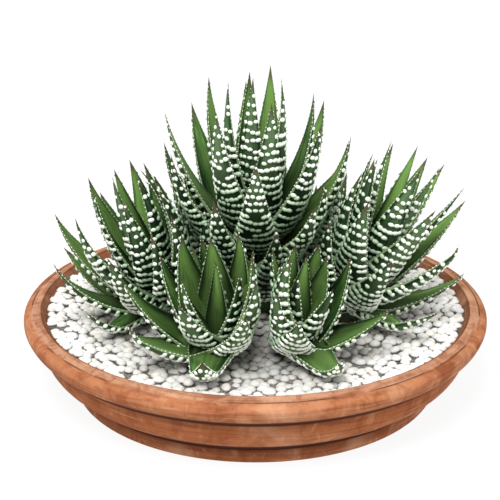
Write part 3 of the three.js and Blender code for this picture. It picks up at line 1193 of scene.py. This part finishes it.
class Canopy:
    """All the leaves as balls along their middles, which shade what lies deep among them.

    Every stride-th station of a leaf is a ball, and none counts as nearer than nearest, in its
    own radii. A leaf's own shades are read at its sides and its two faces. outer_share and
    channel_share say how far from its middle the faces lie, in half widths.
    """

    stride: int = 4
    strength: float = 0.9
    nearest: float = 0.6
    outer_share: float = 0.6
    channel_share: float = 0.1
    inner_share: float = 0.75

    def __init__(self, forms: Sequence[LeafForm]) -> None:
        """Gathers the balls and works out each leaf's own shades.

        Args:
            forms: The leaves of all the rosettes.
        """
        rows = [np.column_stack([form.centres, form.half_widths])[:: self.stride] for form in forms]
        self.balls = np.concatenate(rows)
        self.owners = np.repeat(np.arange(len(rows)), [len(row) for row in rows])
        for number, form in enumerate(forms):
            middles, halves, backs = (
                table[:: self.stride] for table in (form.centres, form.half_widths, form.backs)
            )
            sides = np.broadcast_to(form.across, backs.shape)
            columns = []
            ways = ((sides, 1.0), (backs, self.outer_share), (-sides, 1.0), (-backs, self.channel_share))
            for facing, share in ways:
                points = middles + facing * (halves * share)[:, None]
                columns.append(self.shade(points, facing, number))
            columns[-1] *= self.inner_share
            form.shades = np.stack(columns, axis=-1)

    def shade(self, points: np.ndarray, facing: np.ndarray, owner: int = -1) -> np.ndarray:
        """How much of what a point faces is filled by leaves.

        Args:
            points: The points.
            facing: The unit direction that each of them faces.
            owner: The number of the leaf that they belong to, which doesn't count.

        Returns:
            A share for each point, 0 in the open.
        """
        balls = self.balls[self.owners != owner]
        away = balls[None, :, :3] - points[:, None]
        distance = np.linalg.norm(away, axis=-1)
        facing_share = np.maximum(0, np.einsum("pbi,pi->pb", away, facing)) / np.maximum(distance, 1e-6)
        size = balls[None, :, 3] / np.maximum(distance, balls[None, :, 3] * self.nearest)
        # Of all that lies round a point, a ball fills a quarter of its size squared.
        return 1 - np.exp(-self.strength * np.sum(size**2 * facing_share, axis=1) / 4)


@dataclass
class Rosette:
    """A rosette of leaves on a short stem.

    Its foot lies on the gravel line and its axis leans by lean degrees towards lean_to. Of
    three values that stand together, the first is the lowest leaf's and the last the innermost
    one's, and the run between them is drawn towards the middle one. heart is the height, and
    reach the radius, of the ball of space that it claims.
    """

    name: str
    foot: Pair
    lean: float
    lean_to: float
    leaves: int
    start: float
    turn: int
    seed: int
    tilt: Triple
    length: Triple
    width: Triple
    curl: Triple
    rise: Pair
    stem: float
    heart: float
    reach: float

    gravel_line: float = 42.0
    stem_depth: float = 20.0
    stem_end_share: float = 0.7
    stem_taper: float = 0.5
    stem_segments: int = 28
    core_spread: float = 1.8
    core_shoulder: float = 5.0
    core_waist_share: float = 0.7
    core_top: float = 3.0
    turn_scatter: float = 4.0
    tilt_scatter: float = 2.0
    length_scatter: float = 0.04
    curl_scatter: float = 4.0
    neighbour_gap: float = 0.4
    stand_step: float = 3.0
    stand_steps: int = 16
    steepest_tilt: float = 4.0
    tested_share: float = 0.85
    crossing_share: float = 0.06

    def axes(self) -> np.ndarray:
        """The rosette's frame, its columns the three axes."""
        towards = math.radians(self.lean_to)
        hinge = Vector((-math.sin(towards), math.cos(towards), 0.0))
        return np.array(Matrix.Rotation(math.radians(self.lean), 3, hinge))

    def origin(self) -> np.ndarray:
        """The rosette's foot on the gravel line."""
        return np.array([*self.foot, self.gravel_line])

    def middle(self) -> np.ndarray:
        """The middle of the ball of space that the rosette claims."""
        return self.origin() + self.axes()[:, 2] * self.heart

    def neighbours(self, clump: Sequence["Rosette"]) -> list[Plane]:
        """One plane towards each neighbour.

        Args:
            clump: All the rosettes.

        Returns:
            The planes.
        """
        planes = []
        for other in clump:
            if other is self:
                continue
            normal = other.middle() - self.middle()
            apart = float(np.linalg.norm(normal))
            normal = normal / apart
            share = (apart**2 + self.reach**2 - other.reach**2) / (2 * apart)
            limit = float(normal @ self.middle()) + share - self.neighbour_gap / 2
            planes.append(Plane(normal, limit))
        return planes

    def draws(self) -> Iterator[float]:
        """A steady stream of numbers from -1 to 1."""
        state = self.seed
        while True:
            state = state * DRAW_FACTOR % DRAW_PRIME
            yield state / DRAW_PRIME * 2 - 1

    def overreach(self, leaf: Leaf, planes: Sequence[Plane]) -> float:
        """How far a leaf's upper part would pass into a neighbour's space.

        Args:
            leaf: The leaf.
            planes: The planes towards the neighbours.

        Returns:
            The depth, or a negative number where it stays clear.
        """
        out, up, _ = leaf.spine(np.array(self.tested_share))
        turn = math.radians(leaf.azimuth)
        point = self.origin() + self.axes() @ np.array([math.cos(turn) * out, math.sin(turn) * out, up])
        return max(float(point @ p.normal) + leaf.width / 4 - p.limit for p in planes)

    def grow(self, clump: Sequence["Rosette"]) -> list[LeafForm]:
        """Grows the leaves from the lowest to the innermost, each a golden angle on.

        A leaf that would lean into a neighbour stands up until it clears it.

        Args:
            clump: All the rosettes.

        Returns:
            The leaves, laid out.
        """
        planes = self.neighbours(clump)
        gravel = Plane(np.array([0.0, 0.0, -1.0]), -RULE.leaf_floor)
        draw = self.draws()
        forms = []
        for index in range(self.leaves):
            t = index / (self.leaves - 1)
            leaf = Leaf(
                azimuth=self.start + self.turn * GOLDEN_ANGLE * index + self.turn_scatter * next(draw),
                tilt=self.between(self.tilt, t) + self.tilt_scatter * next(draw),
                length=self.between(self.length, t) * (1 + self.length_scatter * next(draw)),
                curl=self.between(self.curl, t) + self.curl_scatter * next(draw),
                width=self.between(self.width, t),
                rise=self.rise[0] + (self.rise[1] - self.rise[0]) * t,
                stem=self.stem * (1 - self.stem_taper * t),
            )
            for _ in range(self.stand_steps):
                clear = self.overreach(leaf, planes) < self.crossing_share * leaf.length
                if clear or leaf.tilt <= self.steepest_tilt:
                    break
                leaf.tilt -= self.stand_step
            leaf.stem -= RULE.root_sink
            forms.append(LeafForm(leaf, self.axes(), self.origin(), [gravel, *planes]))
        return forms

    @staticmethod
    def between(values: Triple, t: float) -> float:
        """A smooth run from the lowest leaf's value, t = 0, to the innermost one's, t = 1."""
        lowest, middle, innermost = values
        return lowest * (1 - t) ** 2 + 2 * middle * t * (1 - t) + innermost * t**2

    def build_stem(self, material: Material) -> Piece:
        """Makes the short stem, from its end in the soil to the heart.

        Args:
            material: Its finish.

        Returns:
            The piece.
        """
        shoulder = self.stem * self.core_spread
        low, high = self.rise
        outline = [
            (0.0, -self.stem_depth, 0.0),
            (self.stem * self.stem_end_share, -self.stem_depth, 0.6),
            (self.stem, 0.0, 0.0),
            (shoulder, low + self.core_shoulder, 0.0),
            (shoulder * self.core_waist_share, (low + high) / 2, 0.0),
            (self.stem * (1 - self.stem_taper), high + self.core_top, 0.6),
            (0.0, high + self.core_top, 0.0),
        ]
        body = turned(outline, self.stem_segments)
        place = Matrix(self.axes().tolist()).to_4x4()
        place.translation = Vector(self.origin()) * MM
        bmesh.ops.transform(body, matrix=place, verts=body.verts[:])
        return write_piece(f"{self.name}_stem", body, material, Slot.LEAF, self.name)


@dataclass
class LeafMaker:
    """Makes a rosette's leaves as one piece, each a mapped copy of one blank.

    crowding gathers the blank's rings towards the tip, and streak_reach is how far apart two
    leaves may read their streaks.
    """

    rings: int = 38
    section: int = 18
    crowding: float = 1.25
    streak_reach: float = 50.0
    margin_width: float = 1e-4

    def blank(self) -> Mesh:
        """A tube along Z, closed at its root and drawn to a point at its tip.

        Returns:
            The mesh. Its Z is the number of the ring.
        """
        body = bmesh.new()
        made = bmesh.ops.create_circle(body, cap_ends=True, radius=1.0, segments=self.section)
        edges = list({edge for vertex in made["verts"] for edge in vertex.link_edges})
        for _ in range(self.rings):
            result = bmesh.ops.extrude_edge_only(body, edges=edges)
            raised = [part for part in result["geom"] if isinstance(part, bmesh.types.BMVert)]
            edges = [part for part in result["geom"] if isinstance(part, bmesh.types.BMEdge)]
            bmesh.ops.translate(body, vec=(0, 0, 1), verts=raised)
            edges = [edge for edge in edges if all(vertex in raised for vertex in edge.verts)]
        bmesh.ops.pointmerge(body, verts=raised, merge_co=(0, 0, self.rings))
        for edge in body.edges:
            first, second = (vertex.co for vertex in edge.verts)
            on_margin = max(abs(first.y), abs(second.y)) < self.margin_width and first.x * second.x > 0
            edge.smooth = not on_margin
        bmesh.ops.recalc_face_normals(body, faces=body.faces[:])
        return body

    def build(self, rosette: Rosette, forms: Sequence[LeafForm], material: Material) -> Piece:
        """Makes the leaves of one rosette.

        Args:
            rosette: The rosette.
            forms: Its leaves.
            material: Their finish.

        Returns:
            The piece.
        """
        blank = self.blank()
        shape = template(blank)
        s = (shape[:, 2] / self.rings) ** (1 / self.crowding)
        phi = np.arctan2(shape[:, 1], shape[:, 0])
        at_tip = np.hypot(shape[:, 0], shape[:, 1]) < 0.5
        outer = np.where(at_tip, 0.0, np.maximum(0, np.sin(phi)))
        across = np.where(at_tip, 0.0, np.cos(phi))
        rng = np.random.default_rng(rosette.seed)
        points, places, growths, covers = [], [], [], []
        for index, form in enumerate(forms):
            points.append(form.skin(s, phi))
            places.append(np.column_stack([s, across, outer]))
            age = 1 - index / (len(forms) - 1)
            own = [rng.uniform(0, 1), age, rng.uniform(0, self.streak_reach)]
            growths.append(np.tile(own, (len(s), 1)))
            covers.append(np.repeat(form.cover(s, phi)[:, None], 3, axis=1))
        attributes = {"leaf": np.array(places), "growth": np.array(growths), "cover": np.array(covers)}
        name = f"{rosette.name}_leaves"
        return write_copies(name, blank, np.array(points), attributes, material, Slot.LEAF, rosette.name)


@dataclass
class BandMaker:
    """Makes the raised white bands of a rosette's leaves as one piece, and their teeth as another.

    A band is a row of domes that run together low on the leaf and stand apart near its tip.
    Lengths are in millimetres, places along a leaf are shares of the way to its tip, and a
    pair that ends in spread holds the lowest and the highest draw.
    """

    row_pitch: float = 4.4
    row_spread: Pair = (0.92, 1.08)
    first_share: float = 0.07
    first_spread: Pair = (0.0, 0.4)
    last_share: float = 0.97
    share_limits: Pair = (0.03, 0.985)
    spacing: float = 2.4
    open_spacing: float = 2.7
    merged_until: float = 0.55
    apart_from: float = 0.85
    edge_angle: float = 0.2
    dome_width: float = 1.45
    open_dome_width: float = 0.78
    width_spread: Pair = (0.9, 1.1)
    break_share: float = 0.12
    break_width: float = 0.6
    missing_share: float = 0.05
    open_missing_share: float = 0.1
    dome_length: float = 2.45
    dome_height: float = 0.85
    size_spread: Pair = (0.86, 1.14)
    root_size: float = 0.45
    root_growth: Pair = (0.9, 0.25)
    narrow_size: float = 0.5
    full_half_width: float = 4.0
    wave: float = 0.6
    wave_turn: float = 2.3
    slope_spread: Pair = (-0.35, 0.35)
    lone_spread: Pair = (0.3, 0.7)
    slide_spread: Pair = (-0.25, 0.25)
    jitter: float = 0.38
    # How lit a dome is painted at the leaf's root, and over what share it rises to full: painted shade deep
    # in the rosette.
    lit_from: Pair = (0.35, 0.2)
    cover_start: float = 0.5
    cover_span: float = 0.6
    dome_root: float = -0.5
    tooth_angle: float = 0.02
    tooth_span: Pair = (0.08, 0.96)
    tooth_pitch: float = 2.2
    tooth_pitch_spread: Pair = (0.85, 1.15)
    tooth_size: Triple = (0.5, 0.7, 0.5)
    tooth_size_spread: Pair = (0.75, 1.15)
    tooth_taper: float = 0.35
    # The same painted shade for the teeth near the leaf's root.
    tooth_lit_from: Pair = (0.4, 0.3)
    seed_step: int = 1000

    def rows(self, form: LeafForm, rng: np.random.Generator) -> Iterator[tuple[float, ...]]:
        """Lays out the domes of one leaf.

        Args:
            form: The leaf.
            rng: The random numbers.

        Yields:
            Each dome's share of the way to the tip, angle, width, length, height and how lit it is painted.
        """
        length = form.leaf.length
        sweep = math.pi - 2 * self.edge_angle
        growth, growth_span = self.root_growth
        lit, lit_span = self.lit_from
        s = self.first_share + rng.uniform(*self.first_spread) * self.row_pitch / length
        while s < self.last_share:
            half = float(np.interp(s, form.shares, form.half_widths))
            arc = math.pi * half * math.sqrt((1 + RULE.thickness_to_half_width**2) / 2)
            arc *= 1 - 2 * self.edge_angle / math.pi
            apart = np.clip((s - self.merged_until) / (self.apart_from - self.merged_until), 0, 1)
            spacing = self.spacing + (self.open_spacing - self.spacing) * apart
            count = max(1, round(arc / spacing))
            breadth = self.dome_width + (self.open_dome_width - self.dome_width) * apart
            small = min(
                1.0, self.root_size + growth * s / growth_span, self.narrow_size + half / self.full_half_width
            )
            phase, slope = rng.uniform(0, 2 * math.pi), rng.uniform(*self.slope_spread)
            offset = 0.5 if count > 1 else rng.uniform(*self.lone_spread)
            for index in range(count):
                t = (index + offset) / count
                if rng.uniform() < self.missing_share + self.open_missing_share * apart:
                    continue
                phi = self.edge_angle + sweep * t
                phi += rng.uniform(*self.slide_spread) * sweep / count * apart
                drift = self.wave * math.sin(self.wave_turn * math.pi * t + phase) + slope * (t - 0.5) * 2
                drift += rng.uniform(-self.jitter, self.jitter)
                scale = small * rng.uniform(*self.size_spread)
                broken = self.break_width if rng.uniform() < self.break_share * (1 - apart) else 1.0
                yield (
                    float(np.clip(s + drift / length, *self.share_limits)),
                    phi,
                    spacing * breadth / 2 * scale * broken * rng.uniform(*self.width_spread),
                    self.dome_length / 2 * scale,
                    self.dome_height * scale,
                    min(1.0, lit + s / lit_span),
                )
            s += self.row_pitch / length * rng.uniform(*self.row_spread)

    def teeth(self, form: LeafForm, rng: np.random.Generator) -> Iterator[tuple[float, ...]]:
        """Lays out the teeth along both margins of one leaf.

        Args:
            form: The leaf.
            rng: The random numbers.

        Yields:
            Each tooth in the same form as a dome.
        """
        length = form.leaf.length
        width, along, height = self.tooth_size
        first, last = self.tooth_span
        lit, lit_span = self.tooth_lit_from
        for phi in (self.tooth_angle, math.pi - self.tooth_angle):
            s = first + rng.uniform(0, 1) * self.tooth_pitch / length
            while s < last:
                scale = rng.uniform(*self.tooth_size_spread) * (1 - self.tooth_taper * s)
                yield s, phi, width * scale, along * scale, height * scale, min(1.0, lit + s / lit_span)
                s += self.tooth_pitch / length * rng.uniform(*self.tooth_pitch_spread)

    def gather(
        self, forms: Sequence[LeafForm], layout: Callable, rng: np.random.Generator, shape: np.ndarray
    ) -> tuple[np.ndarray, np.ndarray]:
        """Places a small shape at every row of a layout.

        Args:
            forms: The leaves.
            layout: The method that lays the shapes out on one leaf.
            rng: The random numbers.
            shape: The small shape's vertices.

        Returns:
            The points and the attribute of all the copies.
        """
        points, dots = [], []
        for form in forms:
            rows = np.array(list(layout(form, rng)))
            s, phi = rows[:, 0], rows[:, 1]
            turns = np.stack(form.directions(s, phi), axis=-1)
            local = shape[None] * rows[:, None, 2:5]
            points.append(form.skin(s, phi)[:, None] + np.einsum("nij,nvj->nvi", turns, local))
            # Painted shade: domes among the other leaves are painted less lit.
            cover = np.clip((form.cover(s, phi) - self.cover_start) / self.cover_span, 0, 1)
            height = np.clip(shape[:, 2], 0, 1)
            lit = (rows[:, 5] * (1 - cover))[:, None]
            shade = rng.uniform(0, 1, (len(rows), 1))
            columns = [np.broadcast_to(column, local.shape[:2]) for column in (height, lit, shade)]
            dots.append(np.stack(columns, axis=-1))
        return np.concatenate(points), np.concatenate(dots)

    def build(self, rosette: Rosette, forms: Sequence[LeafForm], material: Material) -> list[Piece]:
        """Makes the bands and the teeth of one rosette.

        Args:
            rosette: The rosette.
            forms: Its leaves.
            material: Their finish.

        Returns:
            The two pieces.
        """
        rng = np.random.default_rng(rosette.seed + self.seed_step)
        dome = bmesh.new()
        bmesh.ops.create_uvsphere(dome, u_segments=8, v_segments=4, radius=1.0)
        buried = [vertex for vertex in dome.verts if vertex.co.z < self.dome_root]
        bmesh.ops.pointmerge(dome, verts=buried, merge_co=(0, 0, self.dome_root))
        tooth = bmesh.new()
        bmesh.ops.create_uvsphere(tooth, u_segments=4, v_segments=2, radius=1.0)
        pieces = []
        for kind, blank, layout in (("bands", dome, self.rows), ("teeth", tooth, self.teeth)):
            points, dots = self.gather(forms, layout, rng, template(blank))
            name = f"{rosette.name}_{kind}"
            pieces.append(write_copies(name, blank, points, {"dot": dots}, material, Slot.LEAF, rosette.name))
        return pieces


@dataclass
class Studio:
    """A plain white floor, soft light and the camera. Lights are placed in metres."""

    floor_half: float = 12.0
    lens: float = 120.0
    sensor: float = 36.0
    aim: Triple = (-2.7, 0.0, 73.0)
    elevation: float = 21.36
    distance: float = 857.2
    sky: float = 0.62
    light_aim: Triple = (0.0, 0.0, 0.06)

    def build_floor(self, material: Material) -> None:
        """Lays the floor.

        Args:
            material: Its finish.
        """
        body = bmesh.new()
        bmesh.ops.create_grid(body, x_segments=1, y_segments=1, size=self.floor_half)
        add_mesh("studio_floor", body, material)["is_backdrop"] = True

    def build_light(self, name: str, place: Triple, size: float, power: float) -> None:
        """Hangs a square soft light that faces the plant.

        Args:
            name: The light's name.
            place: Where it hangs.
            size: Its side, in metres.
            power: Its power in watts.
        """
        data = bpy.data.lights.new(name, "AREA")
        data.shape = "SQUARE"
        data.size = size
        data.energy = power
        light = add_object(name, data)
        light.location = place
        light.rotation_euler = (Vector(self.light_aim) - Vector(place)).to_track_quat("-Z", "Y").to_euler()

    def build_sky(self) -> None:
        """Fills the surroundings with even white light."""
        world = bpy.data.worlds.new("studio_sky")
        world.use_nodes = True
        background = world.node_tree.nodes["Background"]
        background.inputs["Color"].default_value = WHITE
        background.inputs["Strength"].default_value = self.sky
        bpy.context.scene.world = world

    def build_camera(self) -> None:
        """Sets the camera in front of the bowl, looking a little down."""
        data = bpy.data.cameras.new("front_camera")
        data.lens = self.lens
        data.sensor_width = self.sensor
        camera = add_object("front_camera", data)
        rise = math.radians(self.elevation)
        back = Vector((0.0, -math.cos(rise), math.sin(rise)))
        camera.location = (Vector(self.aim) + back * self.distance) * MM
        camera.rotation_euler = (-back).to_track_quat("-Z", "Y").to_euler()
        bpy.context.scene.camera = camera

    def build(self) -> None:
        """Sets up the whole studio."""
        self.build_floor(FloorFinish().material())
        self.build_light("key_light", place=(-0.3, -1.0, 1.6), size=0.8, power=37.0)
        self.build_light("side_light", place=(1.3, -0.5, 0.7), size=1.0, power=4.0)
        self.build_sky()
        self.build_camera()
        view = bpy.context.scene.view_settings
        view.view_transform = "Standard"
        view.look = "None"


BACK_LEFT = Rosette(
    name="rosette_back_left", foot=(-27, 28), lean=8, lean_to=150, leaves=5, start=40, turn=1, seed=81,
    tilt=(36, 24, 8), length=(54, 62, 54), width=(20, 26, 16), curl=(26, 36, 15), rise=(4, 9),
    stem=4, heart=26, reach=36,
)
CLUMP = (
    Rosette(
        name="rosette_centre", foot=(0, 2), lean=4.5, lean_to=275, leaves=30, start=226.5, turn=1, seed=13,
        tilt=(60, 41, 2), length=(64, 91, 73), width=(24, 34, 17), curl=(46, 54, 16), rise=(7, 56),
        stem=11, heart=62, reach=62,
    ),
    Rosette(
        name="rosette_left", foot=(-44, -11), lean=18, lean_to=202, leaves=23, start=97, turn=1, seed=25,
        tilt=(62, 32, 5), length=(58, 76, 66), width=(21, 32, 15), curl=(64, 78, 29), rise=(6.5, 18),
        stem=7, heart=38, reach=55,
    ),
    Rosette(
        name="rosette_right", foot=(43, -15), lean=24, lean_to=358, leaves=25, start=31, turn=1, seed=41,
        tilt=(63, 28, 11), length=(58, 76, 68), width=(21, 32, 15), curl=(48, 30, 7), rise=(3, 32),
        stem=6.4, heart=38, reach=57,
    ),
    Rosette(
        name="rosette_front_left", foot=(-18, -58), lean=15, lean_to=246, leaves=17, start=94.8, turn=-1,
        seed=45, tilt=(76, 58, 12), length=(61, 64, 42), width=(24, 36, 17), curl=(44, 44, 16), rise=(5, 8),
        stem=4.2, heart=24, reach=51,
    ),
    Rosette(
        name="rosette_front_right", foot=(17, -58), lean=16, lean_to=304, leaves=14, start=242.5, turn=1,
        seed=60, tilt=(76, 56, 10), length=(56, 60, 40), width=(23, 35, 16), curl=(44, 44, 10), rise=(5, 8),
        stem=4, heart=22, reach=47,
    ),
    BACK_LEFT,
    replace(BACK_LEFT, name="rosette_back_right", foot=(31, 26), lean_to=30, start=100, turn=-1, seed=84),
)


def report(pieces: Sequence[Piece]) -> None:
    """Logs each piece and its number of triangles.

    Args:
        pieces: The pieces.
    """
    for piece in pieces:
        piece.data.calc_loop_triangles()
        LOG.info("%s: %d triangles", piece.name, len(piece.data.loop_triangles))


def write_sizes() -> None:
    """Works out the CAD box and the visual model's box, in metres, and keeps them nowhere."""
    boxes = {"cad": CAD_BOX, "visual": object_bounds()}
    {name: [list(corner) for corner in box] for name, box in boxes.items()}


def main() -> None:
    """Builds the bowl, its fill and the rosettes, and sets up the studio."""
    logging.basicConfig(level=logging.INFO, format="%(name)s: %(message)s")
    report([Bowl().build(TerracottaFinish().material())])

    grown = [rosette.grow(CLUMP) for rosette in CLUMP]
    canopy = Canopy([form for forms in grown for form in forms])

    fill = Fill()
    fill.dress_soil(SoilFinish().material())
    report([fill.build_bed(BedFinish().material())])
    stems = [(*rosette.foot, rosette.stem) for rosette in CLUMP]
    report(fill.build_pebbles(PebbleFinish().material(), stems, canopy))

    leaf, tubercle, bark = LeafFinish().material(), TubercleFinish().material(), StemFinish().material()
    for rosette, forms in zip(CLUMP, grown):
        report([rosette.build_stem(bark), LeafMaker().build(rosette, forms, leaf)])
        report(BandMaker().build(rosette, forms, tubercle))

    Studio().build()
    write_sizes()


if __name__ == "__main__":
    main()
